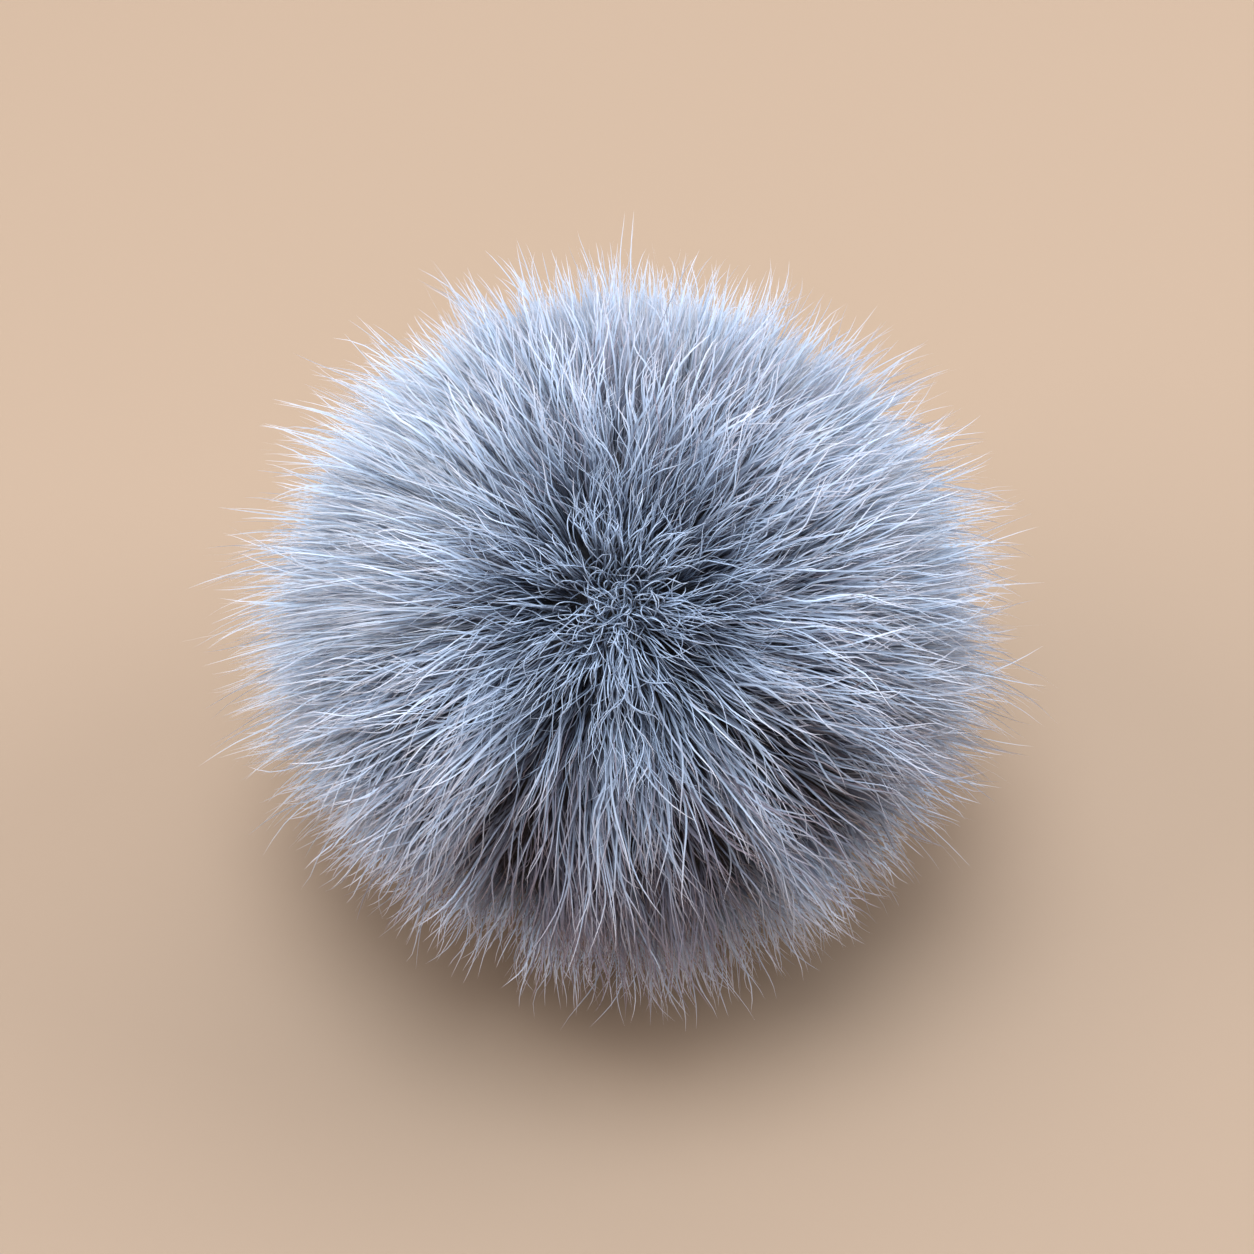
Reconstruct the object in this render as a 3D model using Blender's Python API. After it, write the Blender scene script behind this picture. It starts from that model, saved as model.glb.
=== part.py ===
"""A grey-blue fur pom pom lying on a table, in metres with +Z up.

The origin is on the table under the middle of the ball, and the front is towards -Y. The one solid is
the outer form of the pile: a slightly flattened ball whose hair grows away from a crown, so its surface
has a hollow at the crown, locks that run away from it, partings between them and a flat spot underneath.
"""

import math

import bmesh
import bpy
from mathutils import Matrix, Vector

# Driving dimensions, in metres.
HALF_WIDTH = 0.0393  # of the pile, before the locks stand up from it
HALF_HEIGHT = 0.0362
CENTRE_HEIGHT = 0.0336  # less than the half height, so the underside is pressed flat
CROWN_HOLLOW = 0.0045
CROWN_HOLLOW_DEG = 12.0
LOCK_RELIEF = 0.0017
BALL_SWELL = 0.0010  # slow unevenness of the whole ball

# Where the crown points: forwards, up, and a little to the left.
CROWN_ELEVATION = math.radians(53.0)
CROWN_TO_LEFT = math.radians(4.0)

# The locks lie side by side round the crown, each with blunt steps where one row of tips ends.
LOCK_COUNT = 27
LOCK_STEP_DEG = 24.0  # from one row of tips to the next
TIP_SHARE = 0.30  # of each step, over which the tips end
LOCKS_START_DEG = 12.0
LOCKS_END_DEG = 150.0

# The partings. Bearings run anticlockwise round the crown, from the right-hand side, as seen from in front.
# bearing_deg, start_deg and end_deg from the crown, depth_m, width_m
PARTINGS = (
    (317.0, 8.0, 64.0, 0.0030, 0.0040),
    (251.0, 12.0, 82.0, 0.0022, 0.0034),
    (193.0, 8.0, 42.0, 0.0020, 0.0034),
    (14.0, 8.0, 56.0, 0.0018, 0.0034),
    (84.0, 6.0, 36.0, 0.0013, 0.0030),
    (213.0, 24.0, 70.0, 0.0015, 0.0032),
    (294.0, 22.0, 80.0, 0.0014, 0.0030),
    (338.0, 28.0, 74.0, 0.0012, 0.0030),
    (128.0, 34.0, 88.0, 0.0010, 0.0034),
    (48.0, 30.0, 82.0, 0.0011, 0.0032),
)
# A shallow bare spot near the right-hand rim: bearing_deg, from_crown_deg, depth_m, width_m
BARE_SPOT = (22.0, 66.0, 0.0022, 0.0045)

SEGMENTS = 112
RINGS = 44
FUR_COLOUR = (0.33, 0.39, 0.50, 1.0)


def clear_scene():
    for item in list(bpy.data.objects):
        bpy.data.objects.remove(item)


def crown_frame():
    """Turns crown directions (x right, y up the ball, z out of the crown) to the part's frame."""
    level = math.cos(CROWN_ELEVATION)
    out = Vector(
        (
            -math.sin(CROWN_TO_LEFT) * level,
            -math.cos(CROWN_TO_LEFT) * level,
            math.sin(CROWN_ELEVATION),
        )
    )
    right = Vector((0.0, 0.0, 1.0)).cross(out).normalized()
    up = out.cross(right)
    return Matrix((right, up, out)).transposed()


def smooth_step(low, high, value):
    share = min(1.0, max(0.0, (value - low) / (high - low)))
    return share * share * (3.0 - 2.0 * share)


def window(start, end, fade, value):
    """1 between start and end, easing to 0 over fade outside them."""
    return smooth_step(start - fade, start, value) * (1.0 - smooth_step(end, end + fade, value))


def across(bearing, middle_deg, polar):
    """The distance along the ball from a bearing's own line, in metres."""
    turn = (bearing - math.radians(middle_deg) + math.pi) % math.tau - math.pi
    return turn * math.sin(polar) * HALF_WIDTH


def lock_height(polar, bearing):
    """Locks as rounded ridges round the crown, whose crests rise slowly and drop at each row of tips."""
    waver = 0.45 * math.sin(3.0 * polar + 2.0 * bearing) + 0.30 * math.sin(5.0 * bearing - 2.0 * polar)
    place = bearing * LOCK_COUNT / math.tau + waver
    lock = math.floor(place)
    ridge = math.sin(math.pi * (place - lock)) ** 1.3
    stagger = 0.37 * (lock % LOCK_COUNT)
    row = math.degrees(polar) / LOCK_STEP_DEG + stagger
    climb = row - math.floor(row)
    crest = climb * (1.0 - smooth_step(1.0 - TIP_SHARE, 1.0, climb))
    spread = window(LOCKS_START_DEG, LOCKS_END_DEG, 16.0, math.degrees(polar))
    return LOCK_RELIEF * spread * ridge * (0.25 + crest)


def parting_depth(polar, bearing):
    """How far the partings and the bare spot sink into the pile."""
    depth = 0.0
    for middle, start, end, deepest, width in PARTINGS:
        along = window(start, end, 8.0, math.degrees(polar))
        depth = max(depth, deepest * along * math.exp(-((across(bearing, middle, polar) / width) ** 2)))
    middle, from_crown, deepest, width = BARE_SPOT
    away = math.hypot(
        across(bearing, middle, polar), (polar - math.radians(from_crown)) * HALF_WIDTH
    )
    return max(depth, deepest * math.exp(-((away / width) ** 2)))


def pile_point(from_crown, frame):
    """The place on the pile's surface that lies in this direction from the ball's centre."""
    polar = math.acos(max(-1.0, min(1.0, from_crown.z)))
    bearing = math.atan2(from_crown.y, from_crown.x)
    out = frame @ from_crown
    level = math.hypot(out.x, out.y)
    reach = 1.0 / math.hypot(level / HALF_WIDTH, out.z / HALF_HEIGHT)
    reach += lock_height(polar, bearing) - parting_depth(polar, bearing)
    reach -= CROWN_HOLLOW * math.exp(-((math.degrees(polar) / CROWN_HOLLOW_DEG) ** 2))
    reach += BALL_SWELL * math.sin(3.0 * out.x + 1.0) * math.sin(4.0 * out.y) * math.cos(3.0 * out.z)
    point = out * reach + Vector((0.0, 0.0, CENTRE_HEIGHT))
    point.z = max(point.z, 0.0)
    return point


def fur_material():
    made = bpy.data.materials.new("fur")
    made.use_nodes = True
    shader = made.node_tree.nodes["Principled BSDF"]
    shader.inputs["Base Color"].default_value = FUR_COLOUR
    shader.inputs["Roughness"].default_value = 0.75
    shader.inputs["Metallic"].default_value = 0.0
    return made


def build_pile(collection):
    """The pile, from a unit sphere whose pole is the crown, so that its rows of points follow the locks."""
    frame = crown_frame()
    shape = bmesh.new()
    bmesh.ops.create_uvsphere(shape, u_segments=SEGMENTS, v_segments=RINGS, radius=1.0)
    for vertex in shape.verts:
        vertex.co = pile_point(vertex.co.normalized(), frame)
    middle = Vector(
        [(min(v.co[k] for v in shape.verts) + max(v.co[k] for v in shape.verts)) / 2 for k in (0, 1)]
        + [0.0]
    )
    bmesh.ops.translate(shape, verts=shape.verts, vec=-middle)
    mesh = bpy.data.meshes.new("fur_pile")
    shape.to_mesh(mesh)
    shape.free()
    mesh.shade_smooth()
    mesh.materials.append(fur_material())
    pile = bpy.data.objects.new("fur_pile", mesh)
    collection.objects.link(pile)
    return pile


def main():
    clear_scene()
    collection = bpy.data.collections.new("pom_pom")
    bpy.context.scene.collection.children.link(collection)
    build_pile(collection)


main()
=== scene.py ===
import math

import bpy
import numpy as np
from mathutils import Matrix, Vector


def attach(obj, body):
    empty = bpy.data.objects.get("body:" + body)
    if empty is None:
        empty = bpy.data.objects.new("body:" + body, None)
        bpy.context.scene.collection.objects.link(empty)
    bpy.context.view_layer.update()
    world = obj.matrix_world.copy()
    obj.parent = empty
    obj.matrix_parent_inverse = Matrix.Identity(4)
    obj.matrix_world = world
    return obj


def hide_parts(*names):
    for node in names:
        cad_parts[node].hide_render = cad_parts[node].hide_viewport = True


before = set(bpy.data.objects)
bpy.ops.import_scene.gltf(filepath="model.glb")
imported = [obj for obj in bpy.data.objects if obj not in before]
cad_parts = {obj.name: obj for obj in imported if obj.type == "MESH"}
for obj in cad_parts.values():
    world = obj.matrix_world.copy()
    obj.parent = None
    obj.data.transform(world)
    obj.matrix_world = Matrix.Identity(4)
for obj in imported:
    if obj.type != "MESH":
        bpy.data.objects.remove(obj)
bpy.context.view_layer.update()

print("frame loaded")

# The ball's own directions: the crown is where the hair parts, forwards, up and a little to the left.
ball = {
    "crownElevation": math.radians(53.0),
    "crownToLeft": math.radians(4.0),
    "centreHeight": 0.0336,  # of the middle that the pile radiates from, above the table
    "tableGap": 0.00025,  # the lowest that a hair lies
    "tableSpread": 0.0012,  # how much higher than that other hairs are folded up
    "tableFold": 0.04,  # how much of its depth below that a folded hair keeps as height
}


def unit(vectors):
    # each row divided by its own length
    return vectors / np.maximum(np.linalg.norm(vectors, axis=-1, keepdims=True), 1e-12)


def mix(a, b, share):
    return a + (b - a) * share


def smoothStep(low, high, value):
    # 0 at low, 1 at high, whichever of them is the greater
    share = np.clip((value - low) / (high - low), 0.0, 1.0)
    return share * share * (3.0 - 2.0 * share)


def crownAxes():
    # rows: right and up the ball as seen from in front, and out of the crown
    level = math.cos(ball["crownElevation"])
    out = np.array([
        -math.sin(ball["crownToLeft"]) * level,
        -math.cos(ball["crownToLeft"]) * level,
        math.sin(ball["crownElevation"]),
    ])
    right = unit(np.cross([0.0, 0.0, 1.0], out))
    return np.array([right, np.cross(out, right), out])


axes = crownAxes()
centre = np.array([0.0, 0.0, ball["centreHeight"]])


def polarOf(directions):
    # the angle from the crown, and the bearing round it, anticlockwise from the right-hand side
    local = directions @ axes.T
    return np.arccos(np.clip(local[..., 2], -1.0, 1.0)), np.arctan2(local[..., 1], local[..., 0])


def directionAt(polar, bearing):
    # the unit vector at an angle from the crown and a bearing round it
    local = np.stack([np.sin(polar) * np.cos(bearing), np.sin(polar) * np.sin(bearing), np.cos(polar)], -1)
    return local @ axes


def waves(spots, scale, seed):
    # smooth noise of about -1 to 1: the mean of sine waves that cross a spot from random sides, raised to
    # make up for how far they cancel out
    count, raised = 8, 1.9
    rng = np.random.default_rng(seed)
    sides = unit(rng.normal(size=(count, 3))) * rng.uniform(0.6, 1.6, (count, 1)) / scale
    return np.sin(spots @ sides.T + rng.uniform(0.0, math.tau, count)).mean(-1) * raised


# The pile's outer form, read once from the frame as a table of radius over angle and bearing.
formRows, formColumns = 61, 120
fineBell, wideBell = 0.0012, 0.03  # how far the averaging reaches: about 2 and 10 degrees


def readForm(node, bell):
    # radius in each direction: the node's own corners, averaged with weights that fall off as a bell
    corners = np.empty(len(node.data.vertices) * 3, np.float32)
    node.data.vertices.foreach_get("co", corners)
    corners = np.unique(np.round(corners.reshape(-1, 3), 6), axis=0) - centre
    reach = np.linalg.norm(corners, axis=1)
    facing = corners / reach[:, None]
    polar, bearing = np.meshgrid(
        np.linspace(0.0, math.pi, formRows), np.linspace(-math.pi, math.pi, formColumns + 1), indexing="ij"
    )
    grid = directionAt(polar, bearing).reshape(-1, 3)
    weight = np.exp((grid @ facing.T - 1.0) / bell)
    return (weight @ reach / weight.sum(1)).reshape(formRows, formColumns + 1)


form = readForm(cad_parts["fur_pile"], fineBell)
smoothForm = readForm(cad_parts["fur_pile"], wideBell)


def lookUp(table, directions):
    # a table's value in each direction, between its four nearest entries
    polar, bearing = polarOf(directions)
    row = np.clip(polar / math.pi * (formRows - 1), 0.0, formRows - 1.001)
    column = np.clip((bearing / math.tau + 0.5) * formColumns, 0.0, formColumns - 0.001)
    i, j = row.astype(int), column.astype(int)
    u, v = row - i, column - j
    near = table[i, j] * (1.0 - v) + table[i, j + 1] * v
    far = table[i + 1, j] * (1.0 - v) + table[i + 1, j + 1] * v
    return near * (1.0 - u) + far * u


# Where the pile changes. A pair gives where a change begins and where it is complete.
places = {
    "lowSide": (0.1, 0.8),  # how steeply a bearing points down from the crown
    "leftSide": (0.5, 0.95),  # and to the left
    # angles from the crown, in radians
    "hollow": (0.15, 0.4),  # out of the crown's own hollow
    "lowFront": (0.4, 1.0),
    "rim": (1.05, 1.4),
    "open": (0.03, 0.38),  # from the crown to the open ball
    "nearRim": (0.7, 1.4),
    "behind": (1.9, 2.9),
    "plushAbove": (0.45, 1.05),  # from open to plush, above and beside the crown
    "plushBelow": (1.5, 2.45),  # and below it
    "plushLeft": 0.3,  # how much sooner on the left
    # heights of a direction, from 0 at the level of the ball's middle to -1 straight down, for the hem, where
    # the pile meets the table: its lean, how much hair there is, its length and its tone
    "hemLean": (-0.1, -0.55),
    "hemCount": (-0.2, -0.6),
    "hemLength": (-0.25, -0.75),
    "hemTone": (-0.05, -0.40),
    "partings": (-0.4, -0.1),  # and for the partings, which end above it
}
# How much of the form's relief counts.
relief = {
    "aside": 0.3,  # above and beside the crown
    "atRim": 0.3,
    "evened": 0.8,  # how far the form is evened out where the pile closes up
}


def lowSide(bearing):
    # 0 above and beside the crown, 1 below it
    return smoothStep(*places["lowSide"], -np.sin(bearing))


def reliefOf(directions):
    # how far the form stands above its own smoothed shape: up on the locks, down in the partings. It counts
    # most below the crown, little near the rim, and the crown's own hollow doesn't count
    polar, bearing = polarOf(directions)
    weight = smoothStep(*places["hollow"], polar) * mix(relief["aside"], 1.0, lowSide(bearing))
    weight *= mix(1.0, relief["atRim"], smoothStep(*places["rim"], polar))
    return (lookUp(form, directions) - lookUp(smoothForm, directions)) * weight


def reachOf(directions):
    # the outer form's radius in each direction, evened out above the crown and near the rim, where the pile
    # closes up
    polar, bearing = polarOf(directions)
    closed = mix(1.0 - lowSide(bearing), 1.0, smoothStep(*places["rim"], polar))
    even = relief["evened"] * smoothStep(*places["hollow"], polar) * closed
    return mix(lookUp(form, directions), lookUp(smoothForm, directions), even)


def spread(count, seed):
    # directions over the whole ball: a golden-angle spiral, shaken by about the distance between neighbours
    shake = 1.1
    rng = np.random.default_rng(seed)
    step = np.arange(count) + 0.5
    height = 1.0 - 2.0 * step / count
    turn = step * math.pi * (3.0 - math.sqrt(5.0))
    level = np.sqrt(1.0 - height * height)
    even = np.stack([level * np.cos(turn), level * np.sin(turn), height], -1)
    return unit(even + rng.normal(size=(count, 3)) * shake / math.sqrt(count))


def nearest(directions, guides):
    # the guide that lies closest to each direction, a few thousand at a time to save memory
    atOnce = 3000
    parts = np.array_split(directions.astype(np.float32), max(1, len(directions) // atOnce))
    turned = guides.astype(np.float32).T
    return np.concatenate([np.argmax(part @ turned, axis=1) for part in parts])


# How the whole pile lies. Every layer of hair and its locks follow this.
lie = {
    # degrees from upright at the middle of a hair: at the crown, on the open ball, at the rim, and behind,
    # where the hair meets again
    "lean": (50.0, 61.0, 40.0, 20.0),
    "bend": (58.0, 46.0, 18.0, 10.0),  # degrees from root to tip, in the same places
    "turn": math.radians(20.0),  # slow changes of direction over the ball
    "turnSize": 0.45,  # their size, in radians of it
    "toRidge": 0.9,  # how much hair turns up the slopes of its lock
    "deepen": 0.7,  # how much deeper than the form the partings go
    "openPartings": 0.55,  # the share of hair that is left in the partings
    "partingDepth": (-0.0002, -0.0013),  # how deep they are where that begins and is complete
    "hemLift": 0.65,  # how much less it leans where it meets the table, so that it splays outwards
    "droop": 0.08,  # of its length that a tip sags
    "crownEdge": (math.radians(2.2), math.radians(9.35)),  # inside it the hair points every way
    "loose": 1.3,  # radians that it turns there, as a spread
    "leanWaves": math.radians(7.0),  # slow changes of lean over the ball
    "leanSize": 0.3,
    "leanLimits": (math.radians(4.0), math.radians(74.0)),
    "bendSpread": (0.6, 1.3),  # how much hairs differ in their bend
    "calm": 0.45,  # how much less they turn and bow on their own where the pile is plush
    "curl": (0.35, 0.85, 0.8),  # how wavy they are: at least, more on the open front, and more at the crown
    "curlEdge": (0.04, 0.25),  # the angles over which the crown's share fades
    "waveSizes": (0.3, 1.4),  # how much hairs differ in the size of their waves
    "waveCounts": (0.6, 1.4),  # and in how many they have
    "waveGrowth": 0.7,  # the power of the length by which they grow
    "waveLift": 0.5,  # how much of them goes up and down, and not sideways
    "holdSpread": (0.5, 1.0),  # how much hairs differ in how firmly they are drawn
}

# The hair hangs together: locks first, then the wisps in them, which every layer shares. For each: how many,
# seed, spread of turn and of lean, sideways bow, size of its waves, waves in a length, how firmly it is drawn
# to the one before it, how late along its length, how far it is drawn there from its very root, how much some
# of them let go again at the tip, and how much they differ in tone
gathers = (
    {
        "count": 1000, "seed": 900, "turn": 0.34, "lean": 0.15, "bow": 0.18, "wave": 0.0009, "waves": 0.8,
        "hold": 0.0, "late": 1.0, "bunch": 0.0, "letGo": 0.0, "tint": 0.15,
    },
    {
        "count": 6500, "seed": 920, "turn": 0.32, "lean": 0.13, "bow": 0.20, "wave": 0.00070, "waves": 1.1,
        "hold": 0.80, "late": 0.9, "bunch": 0.0, "letGo": 0.2, "tint": 0.10,
    },
)


def byPlace(values, polar):
    # eases between four values: at the crown, on the open ball, at the rim and at the meeting place behind
    value = mix(values[0], values[1], smoothStep(*places["open"], polar))
    value = mix(value, values[2], smoothStep(*places["nearRim"], polar))
    return mix(value, values[3], smoothStep(*places["behind"], polar))


def plushOf(directions):
    # 0 at the crown and on the front below it, where the pile lies open, and 1 on the top, sides and back,
    # which begin sooner on the left
    polar, bearing = polarOf(directions)
    low = lowSide(bearing)
    sooner = places["plushLeft"] * smoothStep(*places["leftSide"], -np.cos(bearing))
    begins = mix(places["plushAbove"][0], places["plushBelow"][0], low) - sooner
    complete = mix(places["plushAbove"][1], places["plushBelow"][1], low) - sooner
    return smoothStep(begins, complete, polar)


def curlOf(directions):
    # how wavy the hair is: most at the crown, less on the open front, and least where the pile is plush
    least, front, crowned = lie["curl"]
    near = 1.0 - smoothStep(*lie["curlEdge"], polarOf(directions)[0])
    return least + front * (1.0 - plushOf(directions)) + crowned * near


def hairRun(roots, rootReach, tipReach, points, family, rng):
    # a hair starts at its root and steps along a direction that tips over from upright to lying away from the
    # crown. Its length takes it from its root's radius out to its tip's. Then it is bowed and let sag
    count = len(roots)
    polar = polarOf(roots)[0]
    away = unit(roots * np.cos(polar)[:, None] - axes[2])
    beside = np.cross(roots, away)
    probe = 0.03  # how far to each side the slope is taken from, in radians
    rise = reliefOf(unit(roots + beside * probe)) - reliefOf(unit(roots - beside * probe))
    loose = 1.0 - smoothStep(*lie["crownEdge"], polar)
    calm = 1.0 - lie["calm"] * plushOf(roots)
    turn = lie["turn"] * waves(roots, lie["turnSize"], 5) + family["turn"] * calm * rng.normal(size=count)
    turn += loose * rng.normal(size=count) * lie["loose"] + lie["toRidge"] * rise / (2.0 * probe * tipReach)
    hem = smoothStep(*places["hemLean"], roots[:, 2])
    lean = np.radians(byPlace(lie["lean"], polar)) * (1.0 - lie["hemLift"] * hem)
    lean += family["lean"] * rng.normal(size=count) + lie["leanWaves"] * waves(roots, lie["leanSize"], 6)
    lean = np.clip(lean, *lie["leanLimits"])
    bend = np.radians(byPlace(lie["bend"], polar)) * rng.uniform(*lie["bendSpread"], count)

    toward = away * np.cos(turn)[:, None] + beside * np.sin(turn)[:, None]
    side = np.cross(roots, toward)
    share = np.linspace(0.0, 1.0, points)
    middle = (share[1:] + share[:-1]) / 2.0
    tilt = lean[:, None] + bend[:, None] * (middle - 0.5)
    steps = roots[:, None] * np.cos(tilt)[..., None] + toward[:, None] * np.sin(tilt)[..., None]
    length = np.sqrt(np.maximum(tipReach**2 - (rootReach * np.sin(lean))**2, 1e-9)) - rootReach * np.cos(lean)
    steps *= (length / (points - 1))[:, None, None]
    paths = np.concatenate([np.zeros((count, 1, 3)), np.cumsum(steps, axis=1)], axis=1)
    paths += centre + (roots * rootReach[:, None])[:, None]
    bow = (family["bow"] * length * calm * rng.normal(size=count))[:, None] * share**2
    paths += side[:, None] * bow[..., None]
    paths[..., 2] -= lie["droop"] * length[:, None] * share**2
    return paths, side


def ripple(roots, side, points, family, rng):
    # waves across the hair and up and down along it, which grow from the root and are curlier at the crown
    count = len(roots)
    share = np.linspace(0.0, 1.0, points)
    size = family["wave"] * curlOf(roots) * rng.uniform(*lie["waveSizes"], count)
    phase = rng.uniform(0.0, math.tau, (count, 2))
    along = math.tau * share * (family["waves"] * rng.uniform(*lie["waveCounts"], count))[:, None]
    grow = share**lie["waveGrowth"] * size[:, None]
    sway = np.sin(along + phase[:, :1]) * grow
    lift = np.sin(along + phase[:, 1:]) * grow * lie["waveLift"]
    return side[:, None] * sway[..., None] + roots[:, None] * lift[..., None]


def rootsOf(family, rng):
    # roots over the ball, between the layer's two angles from the crown with a ragged edge. One share of them
    # is kept on the open front, another where the pile is plush, and others low down and by the table
    roots = spread(family["count"], family["seed"])
    if "zone" not in family:
        return roots
    first, last, edge = family["zone"]
    polar, bearing = polarOf(roots)
    kept = mix(family["onFront"], family["onPlush"], plushOf(roots))
    kept *= mix(1.0, family["onLow"], lowSide(bearing) * smoothStep(*places["lowFront"], polar))
    polar = polar + rng.normal(size=len(roots)) * edge
    kept *= mix(1.0, family["onHem"], smoothStep(*places["hemCount"], roots[:, 2]))
    parted = smoothStep(*lie["partingDepth"], reliefOf(roots)) * smoothStep(*places["partings"], roots[:, 2])
    kept *= mix(1.0, lie["openPartings"], parted)
    return roots[(polar > first) & (polar < last) & (rng.uniform(size=len(roots)) < kept)]


# How light the hair is by where its root is, on a scale of 0 to 1. Apart from the middle tone and the slow
# patches, what the places below add is painted light and shade.
tones = {
    "middle": 0.58,
    "patches": 0.10,  # slow changes over the ball
    "patchSize": 0.12,
    "plush": 0.12,  # painted light: lighter on the plush top, sides and back
    "aside": 0.08,  # painted light: lighter above and beside the crown
    # painted shade: darker in the crown's hollow
    "crown": -0.30,
    "crownEdge": (0.03, 0.28),  # the angles over which that fades
    "lowEdge": (0.2, 1.0),  # and those over which "aside" and each layer's own "lowTone" set in
    "lockRise": 60.0,  # painted light on the locks and painted shade in the partings: for each metre that its lock stands above the others
    "plushEven": 0.6,  # how much less hairs differ where the pile is plush
    # Painted light and shade by side of the crown: darker straight below it, above it and on the right, and
    # lighter on the left and low on the left and right.
    # by how much, to which bearing in degrees, the cosines off it between which that sets in, and the angles
    # from the crown between which it sets in and then fades
    "sides": (
        (-0.36, 270.0, (0.80, 0.98), (0.14, 0.50), (1.1, 1.5)),
        (0.24, 180.0, (0.60, 0.95), (0.08, 0.35), (3.0, 3.1)),
        (-0.30, 90.0, (0.50, 0.95), (0.45, 0.80), (3.0, 3.1)),
        (-0.12, 0.0, (0.60, 0.95), (0.60, 0.90), (3.0, 3.1)),
        (0.30, 222.0, (0.85, 0.97), (0.70, 1.0), (3.0, 3.1)),
        (0.15, 318.0, (0.85, 0.97), (0.70, 1.0), (3.0, 3.1)),
    ),
}


def toneOf(roots, kind):
    # the middle tone and its slow patches, plus the painted light and shade that each of those places adds
    polar, bearing = polarOf(roots)
    tone = tones["middle"] + tones["patches"] * waves(roots, tones["patchSize"], 40)
    tone += tones["plush"] * plushOf(roots) + tones["crown"] * (1.0 - smoothStep(*tones["crownEdge"], polar))
    tone += mix(tones["aside"], kind["lowTone"], lowSide(bearing)) * smoothStep(*tones["lowEdge"], polar)
    tone += kind["hemTone"] * smoothStep(*places["hemTone"], roots[:, 2])
    for amount, towards, aim, begins, fades in tones["sides"]:
        share = smoothStep(*aim, np.cos(bearing - math.radians(towards)))
        tone += amount * share * smoothStep(*begins, polar) * (1.0 - smoothStep(*fades, polar))
    return tone


def laidHairs(kind, seed):
    # locks, then wisps, then the hairs themselves: each is drawn to the nearest of the family before it, more
    # and more towards its tip, so that tips meet and gaps open between them, and then rippled on its own
    share = np.linspace(0.0, 1.0, kind["points"])
    before = None
    for family in (*gathers, {**kind, "seed": seed}):
        rng = np.random.default_rng(family["seed"] + 1)
        roots = rootsOf(family, rng)
        rise = reliefOf(roots)
        outer = reachOf(roots) + lie["deepen"] * np.minimum(rise, 0.0)
        plush = plushOf(roots)
        reach = mix(kind["short"], kind["long"], rng.uniform(0.0, 1.0, len(roots))**kind["rare"])
        reach -= kind["lowCut"] * lowSide(polarOf(roots)[1])
        reach -= kind["hemCut"] * smoothStep(*places["hemLength"], roots[:, 2])
        paths, side = hairRun(roots, outer * kind["rootShare"], outer * reach, kind["points"], family, rng)
        tint = family["tint"] * rng.normal(size=len(roots))
        if before is not None:
            near = nearest(roots, before[0])
            tint += before[2][near]
            drawn = family["hold"] * rng.uniform(*lie["holdSpread"], len(roots))[:, None]
            drawn = drawn * mix(share**family["late"], 1.0, family["bunch"])
            drawn = drawn * (1.0 - family["letGo"] * rng.uniform(0.0, 1.0, len(roots))[:, None] * share**3)
            paths += (before[1][near] - paths) * drawn[..., None]
        paths += ripple(roots, side, kind["points"], family, rng)
        before = roots, paths, tint

    # nothing goes below the table: what would is folded up a little way above it, each hair at its own height
    floorLevel = ball["tableGap"] + rng.uniform(0.0, ball["tableSpread"], len(roots))[:, None]
    below = np.maximum(floorLevel - paths[..., 2], 0.0)
    paths[..., 2] = np.maximum(paths[..., 2], floorLevel + ball["tableFold"] * below)
    tone = toneOf(roots, kind) + tint * (1.0 - tones["plushEven"] * plush) + tones["lockRise"] * rise
    tone += kind["bright"] * (reach - reach.mean()) / reach.std()
    return paths, side, np.clip(tone, 0.0, 1.0), rng


# What all hairs share as shapes.
strand = {
    "taperAt": (0.0, 0.35, 0.8, 1.0),  # shares of the length, and the shares of the width there
    "taper": (0.8, 1.0, 0.6, 0.12),
    "mapWidth": 0.012,  # of a hair on its map, to each side
    "mapEdges": (0.03, 0.97),  # that its tone stays between
    "mapTop": 0.99,  # where its tip lies
}


def hairPattern(points, sides):
    # the faces of one hair: rings of corners that end in a point. A round hair is closed at its root as well,
    # and a flat one, with two corners to a ring, has one row of faces
    corner = np.arange(sides if sides > 2 else 1)
    after = (corner + 1) % sides
    base = sides * np.arange(points - 2)[:, None]
    above = base + sides
    quads = np.stack([base + corner, base + after, above + after, above + corner], -1).reshape(-1, 4)
    last = sides * (points - 2)
    triangles = np.stack([last + corner, last + after, np.full(len(corner), last + sides)], -1)
    if sides > 2:
        triangles = np.vstack([triangles, [[2, 1, 0]]])
    return quads, triangles


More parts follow.
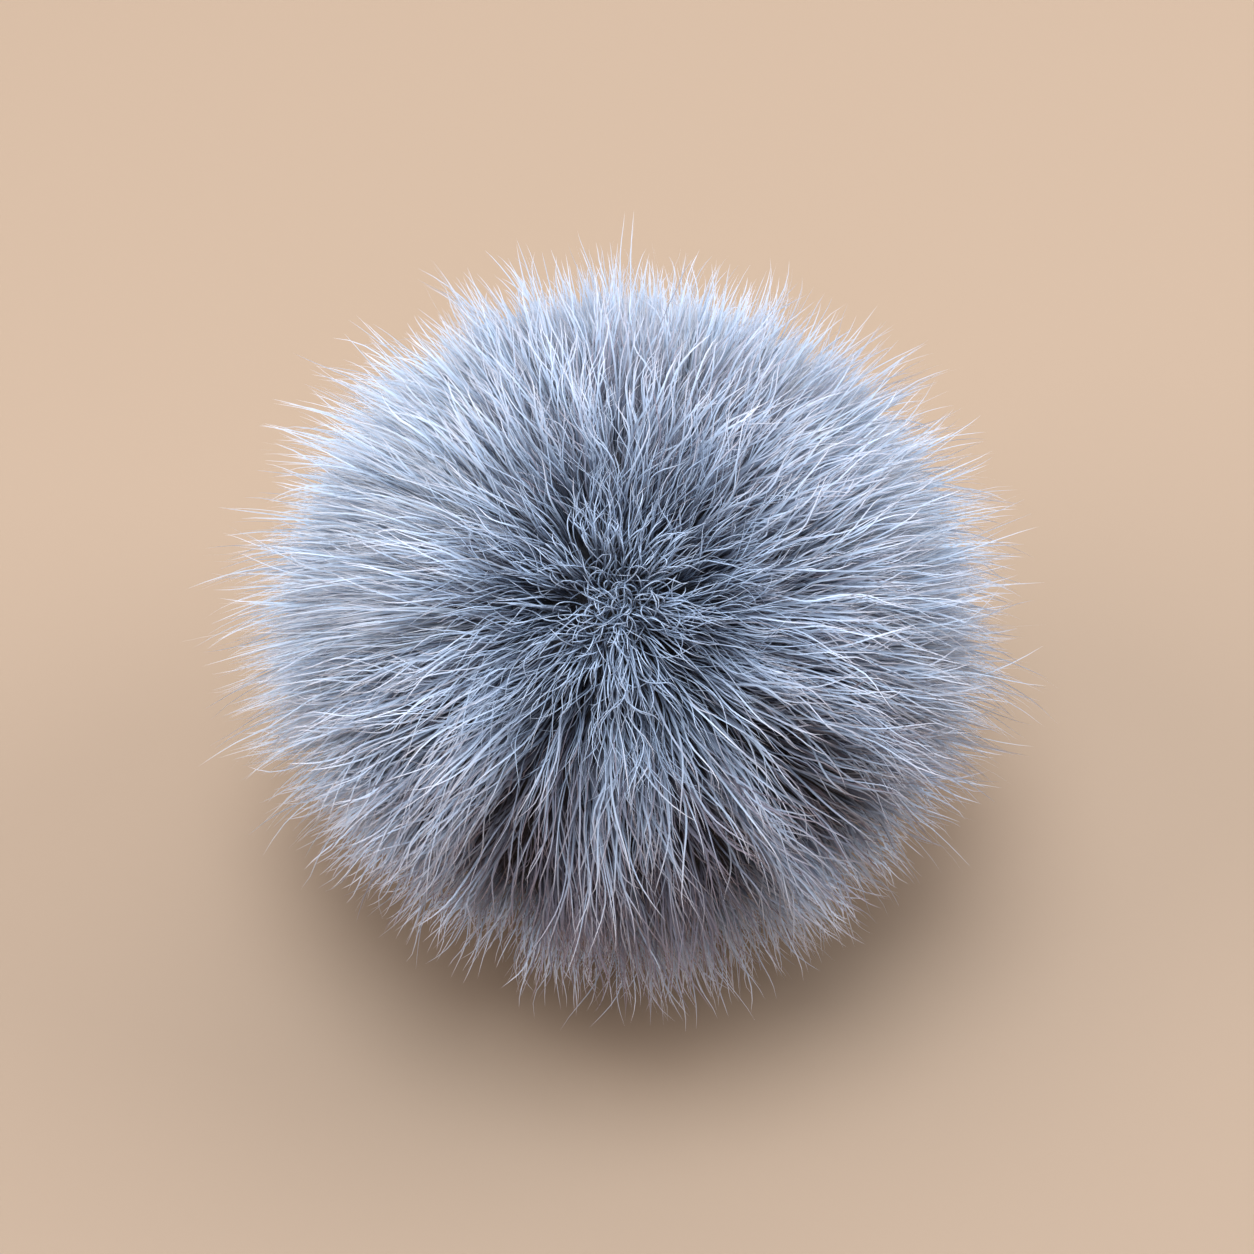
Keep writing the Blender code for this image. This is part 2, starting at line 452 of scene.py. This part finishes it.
def hairMesh(name, paths, side, width, tone, kind, rng):
    # rings across each path, widest a third of the way up and tapering to a point
    count, points = paths.shape[:2]
    sides = kind["sides"]
    share = np.linspace(0.0, 1.0, points)
    profile = np.interp(share, strand["taperAt"], strand["taper"])
    along = unit(np.gradient(paths, axis=1))
    across = unit(side[:, None] - along * (along * side[:, None]).sum(-1, keepdims=True))
    up = np.cross(along, across)
    spin = rng.uniform(-kind["spin"], kind["spin"], (count, 1, 1, 1))
    spin = spin + np.arange(sides)[:, None] * math.tau / sides
    radius = (width[:, None] * profile / (2.0 * math.sin(math.pi / sides)))[:, :, None, None]
    ring = paths[:, :, None] + radius * (across[:, :, None] * np.cos(spin) + up[:, :, None] * np.sin(spin))
    corners = np.concatenate([ring[:, :-1].reshape(count, -1, 3), paths[:, -1:]], axis=1)
    perHair = corners.shape[1]

    # the piece's own map: each hair's tone across, root to tip upwards
    mapU = np.concatenate([np.tile(np.linspace(-1.0, 1.0, sides), points - 1), [0.0]]) * strand["mapWidth"]
    mapV = np.concatenate([np.repeat(share[:-1], sides), [1.0]])
    mapped = np.stack([
        np.clip(tone[:, None], *strand["mapEdges"]) + mapU,
        np.broadcast_to(mix(kind["paleFrom"], strand["mapTop"], mapV), (count, perHair)),
    ], -1).reshape(-1, 2)

    quads, triangles = hairPattern(points, sides)
    start = (np.arange(count) * perHair)[:, None, None]
    faces = [(quads + start).reshape(count, -1), (triangles + start).reshape(count, -1)]
    loops = np.concatenate(faces, axis=1).ravel()
    sizes = np.tile(np.repeat([4, 3], [len(quads), len(triangles)]), count)

    mesh = bpy.data.meshes.new(name)
    mesh.vertices.add(count * perHair)
    mesh.vertices.foreach_set("co", corners.ravel())
    mesh.loops.add(len(loops))
    mesh.loops.foreach_set("vertex_index", loops)
    mesh.polygons.add(len(sizes))
    mesh.polygons.foreach_set("loop_start", np.concatenate([[0], np.cumsum(sizes)[:-1]]))
    mesh.uv_layers.new(name="OFBake").uv.foreach_set("vector", mapped[loops].ravel())
    mesh.update(calc_edges=True)
    mesh.shade_smooth()
    piece = bpy.data.objects.new(name, mesh)
    bpy.context.scene.collection.objects.link(piece)
    print(name, count, "hairs,", int((sizes - 2).sum()), "triangles")
    return piece


def ramp(nodes, stops):
    made = nodes.new("ShaderNodeValToRGB")
    elements = made.color_ramp.elements
    while len(elements) < len(stops):
        elements.new(0.5)
    for element, (place, colour) in zip(elements, stops):
        element.position = place
        element.color = (*colour, 1.0)
    return made


def hairMaterial(name, look):
    # colour from root to tip, times the hair's tone, which carries painted light and shade by place, with
    # some of the light going through
    made = bpy.data.materials.new(name)
    made.use_nodes = True
    nodes, links = made.node_tree.nodes, made.node_tree.links
    shader = nodes["Principled BSDF"]
    place = nodes.new("ShaderNodeUVMap")
    place.uv_map = "OFBake"
    parts = nodes.new("ShaderNodeSeparateXYZ")
    links.new(place.outputs["UV"], parts.inputs["Vector"])
    length = ramp(nodes, look["rootToTip"])
    links.new(parts.outputs["Y"], length.inputs["Fac"])
    tone = ramp(nodes, look["tones"])
    links.new(parts.outputs["X"], tone.inputs["Fac"])
    tinted = nodes.new("ShaderNodeMix")
    tinted.data_type = "RGBA"
    tinted.blend_type = "MULTIPLY"
    tinted.inputs["Factor"].default_value = 1.0
    links.new(length.outputs["Color"], tinted.inputs["A"])
    links.new(tone.outputs["Color"], tinted.inputs["B"])
    links.new(tinted.outputs["Result"], shader.inputs["Base Color"])
    shader.inputs["Roughness"].default_value = look["roughness"]
    shader.inputs["Specular IOR Level"].default_value = look["specular"]
    through = nodes.new("ShaderNodeBsdfTranslucent")
    links.new(tinted.outputs["Result"], through.inputs["Color"])
    both = nodes.new("ShaderNodeMixShader")
    both.inputs["Fac"].default_value = look["through"]
    links.new(shader.outputs["BSDF"], both.inputs[1])
    links.new(through.outputs["BSDF"], both.inputs[2])
    links.new(both.outputs["Shader"], nodes["Material Output"].inputs["Surface"])
    return made


# The long guard hairs that stand out on the open front, flat strips in many steps because they wave.
guard = {
    "pieces": 1,
    "count": 20000,  # over the whole ball, of which its zone is kept
    "points": 13,
    "sides": 2,
    "spin": 0.8,
    "zone": (0.34, 4.0, 0.08),  # from and to, as angles from the crown, and how ragged its edge is
    "onFront": 1.0,  # the share of it that is kept on the open front
    "onPlush": 0.08,  # and where the pile is plush
    "onLow": 0.66,  # and times this low on the front
    "onHem": 0.72,  # and times this where the pile meets the table
    "rootShare": 0.74,  # of the outer form
    "short": 0.86,
    "long": 1.13,
    "rare": 1.3,  # the higher, the fewer hairs reach the longest
    "lowCut": 0.0,  # how much shorter they are below the crown
    "hemCut": -0.08,  # and at the hem
    "lowTone": -0.34,  # painted shade below the crown: how its tone changes there
    "hemTone": 0.42,  # and at the hem, where the pile meets the table: painted light where it lightens, painted shade where it darkens
    "bright": 0.06,  # how much lighter the longer hairs are: painted shade on the shorter hairs deeper in the pile
    "width": (0.00016, 0.00025),
    "turn": 0.22,  # from here to "tint", the same as for the gathers
    "lean": 0.11,
    "bow": 0.15,
    "wave": 0.00045,
    "waves": 1.3,
    "hold": 0.72,
    "late": 0.85,
    "bunch": 0.0,
    "letGo": 0.55,
    "tint": 0.11,
    "paleFrom": 0.01,  # where on its way from root to tip its colours begin
    # From root to tip: near-black at the root, partly the hair's own darker root and partly painted shade of
    # the pile's depth, to pinkish tips, painted warm light coming through them.
    "rootToTip": (
        (0.0, (0.045, 0.046, 0.056)),
        (0.30, (0.18, 0.225, 0.305)),
        (0.64, (0.57, 0.69, 0.85)),
        (1.0, (0.84, 0.81, 0.84)),
    ),
    # The warm hue at the dark end of its tones, where the hair low on the ball lands, is painted warm light
    # from the table below.
    "tones": ((0.0, (0.38, 0.30, 0.31)), (0.5, (0.785, 0.78, 0.80)), (1.0, (1.0, 0.985, 0.98))),
    "roughness": 0.48,
    "specular": 0.26,
    "through": 0.22,
}

# The same hair round the crown, round and in more steps because it is curlier there.
crown = {
    **guard,
    "count": 16000,
    "points": 16,
    "sides": 3,
    "spin": math.pi,
    "zone": (0.13, 0.36, 0.03),
    "short": 0.87,
    "long": 1.05,
    "width": (0.00013, 0.00018),
    "turn": 0.28,
    "lean": 0.18,
    "bow": 0.24,
    "waves": 1.4,
    "wave": 0.00040,
    "hold": 0.85,
    "bunch": 0.7,
    "letGo": 0.8,
    "bright": 0.10,
    "tint": 0.14,
    # This ramp and the tones below are darker than the guard's part way up and at the low end: the hair's own
    # darker roots, deepened as painted shade of the crown's hollow.
    "rootToTip": (
        (0.0, (0.045, 0.046, 0.056)),
        (0.36, (0.115, 0.14, 0.20)),
        (0.68, (0.54, 0.66, 0.83)),
        (1.0, (0.70, 0.77, 0.89)),
    ),
    "tones": ((0.0, (0.20, 0.21, 0.24)), (0.5, (0.74, 0.77, 0.81)), (1.0, (1.0, 1.0, 1.0))),
}

# Finer hairs between them: on the front, round the crown, and over the plush sides, top and back, where the
# longest stand out as spikes.
fineFront = {
    **guard,
    "count": 14000,
    "points": 10,
    "onPlush": 0.0,
    "onLow": 0.3,
    "onHem": 0.2,
    "short": 0.80,
    "long": 1.06,
    "hemCut": -0.06,
    # painted shade below the crown, painted light at the hem
    "lowTone": -0.50,
    "hemTone": 0.3,
    "width": (0.00011, 0.00017),
    "hold": 0.85,
    "letGo": 0.25,
}
fineCrown = {**crown, "count": 24000, "zone": (0.17, 0.36, 0.03), "sides": 2, "width": (0.00009, 0.00014)}
fineOuter = {
    **fineFront,
    "pieces": 2,
    "count": 14000,
    "points": 9,
    "spin": math.pi,
    "onFront": 0.0,
    "onPlush": 1.0,
    "onLow": 1.0,
    "onHem": 0.62,
    "short": 0.81,
    "long": 1.27,
    "rare": 1.8,
    "hemCut": 0.0,
    # painted light at the hem
    "hemTone": 0.12,
    "bright": 0.04,
    "width": (0.00012, 0.00020),
    "turn": 0.20,
    "lean": 0.15,
    "waves": 1.0,
    "hold": 0.90,
    # From darker roots, partly painted shade of the pile's depth, to pinkish tips, painted warm light coming
    # through them.
    "rootToTip": (
        (0.0, (0.09, 0.10, 0.12)),
        (0.25, (0.33, 0.39, 0.47)),
        (0.55, (0.60, 0.72, 0.86)),
        (1.0, (0.80, 0.78, 0.81)),
    ),
    "roughness": 0.56,
    "specular": 0.20,
    "through": 0.38,
}

# Down, flat fibres that are shorter, finer and softer: beneath the front, and up among the hair elsewhere.
frontDown = {
    **guard,
    "count": 45000,
    "points": 6,
    "spin": 0.9,
    "zone": (0.22, 4.0, 0.06),
    "onPlush": 0.0,
    "onLow": 0.8,
    "onHem": 0.7,
    "rootShare": 0.72,
    "short": 0.82,
    "long": 0.98,
    "lowCut": 0.11,
    "hemCut": 0.0,
    # painted shade: darker below the crown, and darkest at the hem, where the pile meets the table
    "lowTone": -0.55,
    "hemTone": -0.6,
    "width": (0.00008, 0.00012),
    "turn": 0.16,
    "lean": 0.12,
    "bow": 0.08,
    "wave": 0.00016,
    "waves": 0.8,
    "hold": 0.55,
    "late": 1.0,
    "letGo": 0.4,
    "tint": 0.08,
    # Dark all along: its own darker down, and painted shade in the gaps between the longer hair on the front.
    "rootToTip": (
        (0.0, (0.032, 0.028, 0.034)),
        (0.35, (0.11, 0.115, 0.15)),
        (1.0, (0.35, 0.38, 0.46)),
    ),
    # The warm hue at the dark end of its tones is painted warm light from the table below.
    "tones": ((0.0, (0.20, 0.165, 0.175)), (0.5, (0.72, 0.72, 0.75)), (1.0, (1.0, 0.985, 0.98))),
    "roughness": 0.6,
    "specular": 0.3,
    "through": 0.12,
}
under = {
    **frontDown,
    "pieces": 3,
    "count": 22000,
    "points": 5,
    "zone": (0.0, 4.0, 0.0),
    "onFront": 0.0,
    "onPlush": 1.0,
    "onLow": 1.0,
    "onHem": 0.65,
    "short": 0.83,
    "long": 1.01,
    "rare": 1.5,
    "lowCut": 0.03,
    "hemCut": 0.08,
    # painted shade below the crown and at the hem
    "lowTone": -0.42,
    "hemTone": -0.4,
    "width": (0.00009, 0.00015),
    "turn": 0.26,
    "lean": 0.18,
    "rootToTip": (
        (0.0, (0.20, 0.22, 0.26)),
        (0.35, (0.44, 0.50, 0.58)),
        (1.0, (0.80, 0.81, 0.84)),
    ),
    # The warm hue at the dark end of its tones is painted warm light from the table below.
    "tones": ((0.0, (0.24, 0.19, 0.20)), (0.5, (0.785, 0.78, 0.80)), (1.0, (1.0, 0.985, 0.98))),
    "through": 0.42,
}


def makeHairs(name, kind, firstSeed):
    # one kind's pieces, each laid from its own seed, in one material
    finish = hairMaterial(name, kind)
    made = []
    for number in range(kind["pieces"]):
        paths, side, tone, rng = laidHairs(kind, firstSeed + 17 * number)
        width = rng.uniform(*kind["width"], len(paths))
        piece = hairMesh(f"{name}_{number + 1}", paths, side, width, tone, kind, rng)
        piece.data.materials.append(finish)
        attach(piece, "root")
        made.append(piece)
    return made


pile = [
    *makeHairs("guard_hairs", guard, 100),
    *makeHairs("crown_hairs", crown, 200),
    *makeHairs("fine_front", fineFront, 400),
    *makeHairs("fine_crown", fineCrown, 500),
    *makeHairs("fine_outer", fineOuter, 600),
    *makeHairs("front_down", frontDown, 800),
    *makeHairs("underfur", under, 300),
]

# Curly ends that lie tangled over the crown as a net, and the tufts that fan out of it.
net = {
    "count": 120,
    "groups": 120,  # places that they start from
    "points": 14,
    "sides": 3,
    "spin": math.pi,
    "from": (0.0, 0.16),  # how far from the crown those places are, in radians
    "gathered": 0.0008,  # how far from its place each starts
    "length": (0.004, 0.009),
    "height": (0.865, 0.885),  # of the outer form, at their start and once they have risen
    "heading": math.pi,  # how far they turn from the way out of the crown, in radians
    "winding": 1.2,  # radians of turning along them, as a spread
    "turns": (2.5, 5.5),  # radians of each of its two waves
    "finer": 1.8,  # how many times smaller the second is
    "risen": 0.6,  # the share of their length in which they rise
    "rise": (0.6, 1.0),  # how much of the way up
    "bob": 0.025,  # how much they go up and down, as a share of the outer form
    "bobs": 9.0,  # radians of that
    "tone": (0.45, 0.95),
    "width": (0.00012, 0.00018),
    "paleFrom": 0.40,
    "seed": 700,
}
fans = {
    **net,
    "count": 270,
    "groups": 15,
    "from": (0.05, 0.16),
    "gathered": 0.0005,
    "length": (0.005, 0.011),
    "height": (0.85, 0.875),
    "heading": 0.5,
    "winding": 0.45,
    "paleFrom": 0.25,
    "seed": 720,
}


def makeCurls(name, spec):
    # each curl starts by its group's place and wanders over the ball: its heading is its share of the spread
    # from the way out of the crown, and turns as slow waves along it, while it rises
    rng = np.random.default_rng(spec["seed"])
    count, points = spec["count"], spec["points"]
    group = rng.integers(0, spec["groups"], count)
    polar = rng.uniform(*spec["from"], spec["groups"])[group]
    bearing = (rng.permutation(spec["groups"]) / spec["groups"] * math.tau)[group]
    start = directionAt(polar, bearing)
    outer = reachOf(start)
    start = unit(start + rng.normal(size=(count, 3)) * (spec["gathered"] / outer)[:, None])
    share = np.linspace(0.0, 1.0, points)
    length = rng.uniform(*spec["length"], count)
    away = unit(start - axes[2] * (start @ axes[2])[:, None] + 1e-6)
    side = np.cross(start, away)
    heading = rng.uniform(-spec["heading"], spec["heading"], count)
    winding = spec["winding"] * rng.normal(size=(count, 2))
    phase = rng.uniform(0.0, math.tau, (count, 2))
    turn = heading[:, None] + winding[:, :1] * np.sin(share * spec["turns"][0] + phase[:, :1])
    turn += winding[:, 1:] * np.sin(share * spec["turns"][1] + phase[:, 1:]) / spec["finer"]
    step = away[:, None] * np.cos(turn)[..., None] + side[:, None] * np.sin(turn)[..., None]
    walk = np.cumsum(step * (length / points)[:, None, None], axis=1)
    facing = unit(start[:, None] * outer[:, None, None] + walk)
    low, high = spec["height"]
    climb = smoothStep(0.0, spec["risen"], share) * rng.uniform(*spec["rise"], count)[:, None]
    height = mix(low, high, climb) + spec["bob"] * np.sin(share * spec["bobs"] + phase[:, :1])
    paths = centre + facing * (reachOf(facing) * height)[..., None]
    width = rng.uniform(*spec["width"], count)
    tone = rng.uniform(*spec["tone"], count)
    piece = hairMesh(name, paths, start, width, tone, spec, rng)
    piece.data.materials.append(bpy.data.materials["crown_hairs"])
    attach(piece, "root")
    return piece


pile.append(makeCurls("crown_net", net))
pile.append(makeCurls("crown_fans", fans))

# The dense root of the pile, which closes the gaps: the outer form drawn in, ribbed the way the hair lies.
# Its near-black colour is painted shade of the pile's depth, and where it is pushed out at the hem it is a
# painted contact shadow showing between the fringe's hairs.
rootShadeBed = {
    "rows": 72,
    "columns": 160,
    "share": 0.755,  # of the outer form
    "hemShadowShare": 0.80,  # and where the pile meets the table, pushed out as a painted contact shadow behind the fringe
    "hem": (-0.15, -0.6),  # heights of a direction between which that sets in
    "ribs": 0.0005,  # their height
    "ribCount": (61, 97, 149),
    "ribSway": 5.0,  # radians that they sway to each side on their way from the crown
    # near-black: painted shade
    "dark": (0.008, 0.008, 0.010),
    "light": (0.030, 0.029, 0.036),
    "grain": 900.0,
    "grainDetail": 3.0,
    "grainEdges": (0.3, 0.75),  # the noise's values where it is dark and where it is light
    "grainDepth": 0.0006,
    "grainStrength": 0.8,
    "roughness": 0.85,
}


def bedShadeMaterial():
    # near-black, painted shade of the pile's depth, with a fine uneven grain in colour and in relief
    made = bpy.data.materials.new("root_shade_bed")
    made.use_nodes = True
    nodes, links = made.node_tree.nodes, made.node_tree.links
    shader = nodes["Principled BSDF"]
    place = nodes.new("ShaderNodeTexCoord")
    grain = nodes.new("ShaderNodeTexNoise")
    grain.inputs["Scale"].default_value = rootShadeBed["grain"]
    grain.inputs["Detail"].default_value = rootShadeBed["grainDetail"]
    links.new(place.outputs["Object"], grain.inputs["Vector"])
    colour = ramp(nodes, tuple(zip(rootShadeBed["grainEdges"], (rootShadeBed["dark"], rootShadeBed["light"]))))
    links.new(grain.outputs["Fac"], colour.inputs["Fac"])
    links.new(colour.outputs["Color"], shader.inputs["Base Color"])
    shader.inputs["Roughness"].default_value = rootShadeBed["roughness"]
    bump = nodes.new("ShaderNodeBump")
    bump.inputs["Distance"].default_value = rootShadeBed["grainDepth"]
    bump.inputs["Strength"].default_value = rootShadeBed["grainStrength"]
    links.new(grain.outputs["Fac"], bump.inputs["Height"])
    links.new(bump.outputs["Normal"], shader.inputs["Normal"])
    return made


def makeBed():
    # a sphere of rows and columns with its poles at the crown and opposite it, each corner set at a share of
    # the outer form's radius, plus ribs that run away from the crown
    rows, columns = rootShadeBed["rows"], rootShadeBed["columns"]
    polar = np.linspace(0.0, math.pi, rows + 1)[1:-1, None]
    bearing = np.linspace(-math.pi, math.pi, columns, endpoint=False)[None]
    polar, bearing = np.broadcast_arrays(polar, bearing)
    facing = directionAt(polar, bearing)
    sway = [rootShadeBed["ribSway"] * np.sin(2.0 * polar + k) for k in range(len(rootShadeBed["ribCount"]))]
    ribs = sum(np.sin(n * bearing + s) for n, s in zip(rootShadeBed["ribCount"], sway))
    share = mix(rootShadeBed["share"], rootShadeBed["hemShadowShare"], smoothStep(*rootShadeBed["hem"], facing[..., 2]))
    reach = reachOf(facing) * share + rootShadeBed["ribs"] * ribs * np.sin(polar)
    poles = np.array([axes[2], -axes[2]])
    corners = np.vstack([
        (facing * reach[..., None]).reshape(-1, 3),
        poles * reachOf(poles)[:, None] * rootShadeBed["share"],
    ]) + centre
    row = np.arange(rows - 2)[:, None] * columns
    column = np.arange(columns)[None]
    after = (column + 1) % columns
    below = row + columns
    quads = np.stack([row + column, below + column, below + after, row + after], -1).reshape(-1, 4)
    top = (rows - 1) * columns
    last = (rows - 2) * columns
    ring, ahead = column[0], after[0]
    caps = np.vstack([
        np.stack([np.full(columns, top), ring, ahead], -1),
        np.stack([np.full(columns, top + 1), last + ahead, last + ring], -1),
    ])
    mesh = bpy.data.meshes.new("root_shade_bed")
    mesh.from_pydata(corners.tolist(), [], quads.tolist() + caps.tolist())
    mesh.shade_smooth()
    piece = bpy.data.objects.new("root_shade_bed", mesh)
    bpy.context.scene.collection.objects.link(piece)
    piece.data.materials.append(bedShadeMaterial())
    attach(piece, "root")
    return piece


# The ball is soft right through, and all its hair goes with its root bed.
bed = makeBed()
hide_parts("fur_pile")
for piece in pile:
    piece.parent = bed
print("root bed made")

# A plain pale floor.
floor = {"size": 3.0, "colour": (0.32, 0.225, 0.15), "roughness": 0.7}


def makeFloor():
    # one square, centred under the ball
    half = floor["size"] / 2.0
    mesh = bpy.data.meshes.new("floor")
    corners = [(-half, -half, 0.0), (half, -half, 0.0), (half, half, 0.0), (-half, half, 0.0)]
    mesh.from_pydata(corners, [], [(0, 1, 2, 3)])
    piece = bpy.data.objects.new("floor", mesh)
    bpy.context.scene.collection.objects.link(piece)
    made = bpy.data.materials.new("floor")
    made.use_nodes = True
    shader = made.node_tree.nodes["Principled BSDF"]
    shader.inputs["Base Color"].default_value = (*floor["colour"], 1.0)
    shader.inputs["Roughness"].default_value = floor["roughness"]
    mesh.materials.append(made)


makeFloor()

# Soft lamps round it: place, target, size, watts and colour.
lamps = {
    "window": ((0.04, 0.42, 0.62), (0.0, 0.0, 0.04), 0.8, 3.4, (1.0, 0.95, 0.95)),
    "rightFill": ((0.55, 0.15, 0.39), (0.0, 0.0, 0.03), 0.5, 3.9, (0.90, 0.93, 1.0)),
    "leftFill": ((-0.57, -0.01, 0.38), (0.0, 0.0, 0.03), 0.6, 3.9, (0.95, 0.94, 0.98)),
    "overhead": ((-0.06, 0.00, 0.80), (0.0, 0.0, 0.05), 0.5, 6.7, (0.79, 0.88, 0.98)),
    "lowFront": ((0.16, -1.35, 0.19), (0.0, 0.0, 0.02), 0.9, 1.7, (1.0, 0.46, 0.24)),
}


def makeLamp(name, place, target, size, watts, colour):
    # a round lamp that faces its target
    light = bpy.data.lights.new(name, "AREA")
    light.shape = "DISK"
    light.size = size
    light.energy = watts
    light.color = colour
    lamp = bpy.data.objects.new(name, light)
    lamp.location = place
    lamp.rotation_euler = (Vector(target) - Vector(place)).to_track_quat("-Z", "Y").to_euler()
    bpy.context.scene.collection.objects.link(lamp)


for lampName, lamp in lamps.items():
    makeLamp(lampName, *lamp)

studio = {"colour": (0.92, 0.93, 0.98), "strength": 0.17}


def makeStudio():
    # even light from all round, under what the lamps give
    world = bpy.data.worlds.new("studio")
    world.use_nodes = True
    background = world.node_tree.nodes["Background"]
    background.inputs["Color"].default_value = (*studio["colour"], 1.0)
    background.inputs["Strength"].default_value = studio["strength"]
    bpy.context.scene.world = world
    bpy.context.scene.view_settings.view_transform = "Standard"


makeStudio()

view = {
    "elevation": math.radians(50.0),
    "distance": 0.300,
    "lens": 80.0,
    "target": (0.0, 0.0, 0.0326),
    "sensor": 36.0,
    "clipStart": 0.01,
}


def makeCamera():
    # looks at the target from in front, from above by its elevation
    target = Vector(view["target"])
    back = Vector((0.0, -math.cos(view["elevation"]), math.sin(view["elevation"])))
    data = bpy.data.cameras.new("camera")
    data.lens = view["lens"]
    data.sensor_width = view["sensor"]
    data.clip_start = view["clipStart"]
    camera = bpy.data.objects.new("camera", data)
    camera.location = target + back * view["distance"]
    camera.rotation_euler = (-back).to_track_quat("-Z", "Y").to_euler()
    bpy.context.scene.collection.objects.link(camera)
    bpy.context.scene.camera = camera


makeCamera()
print("camera and light set")
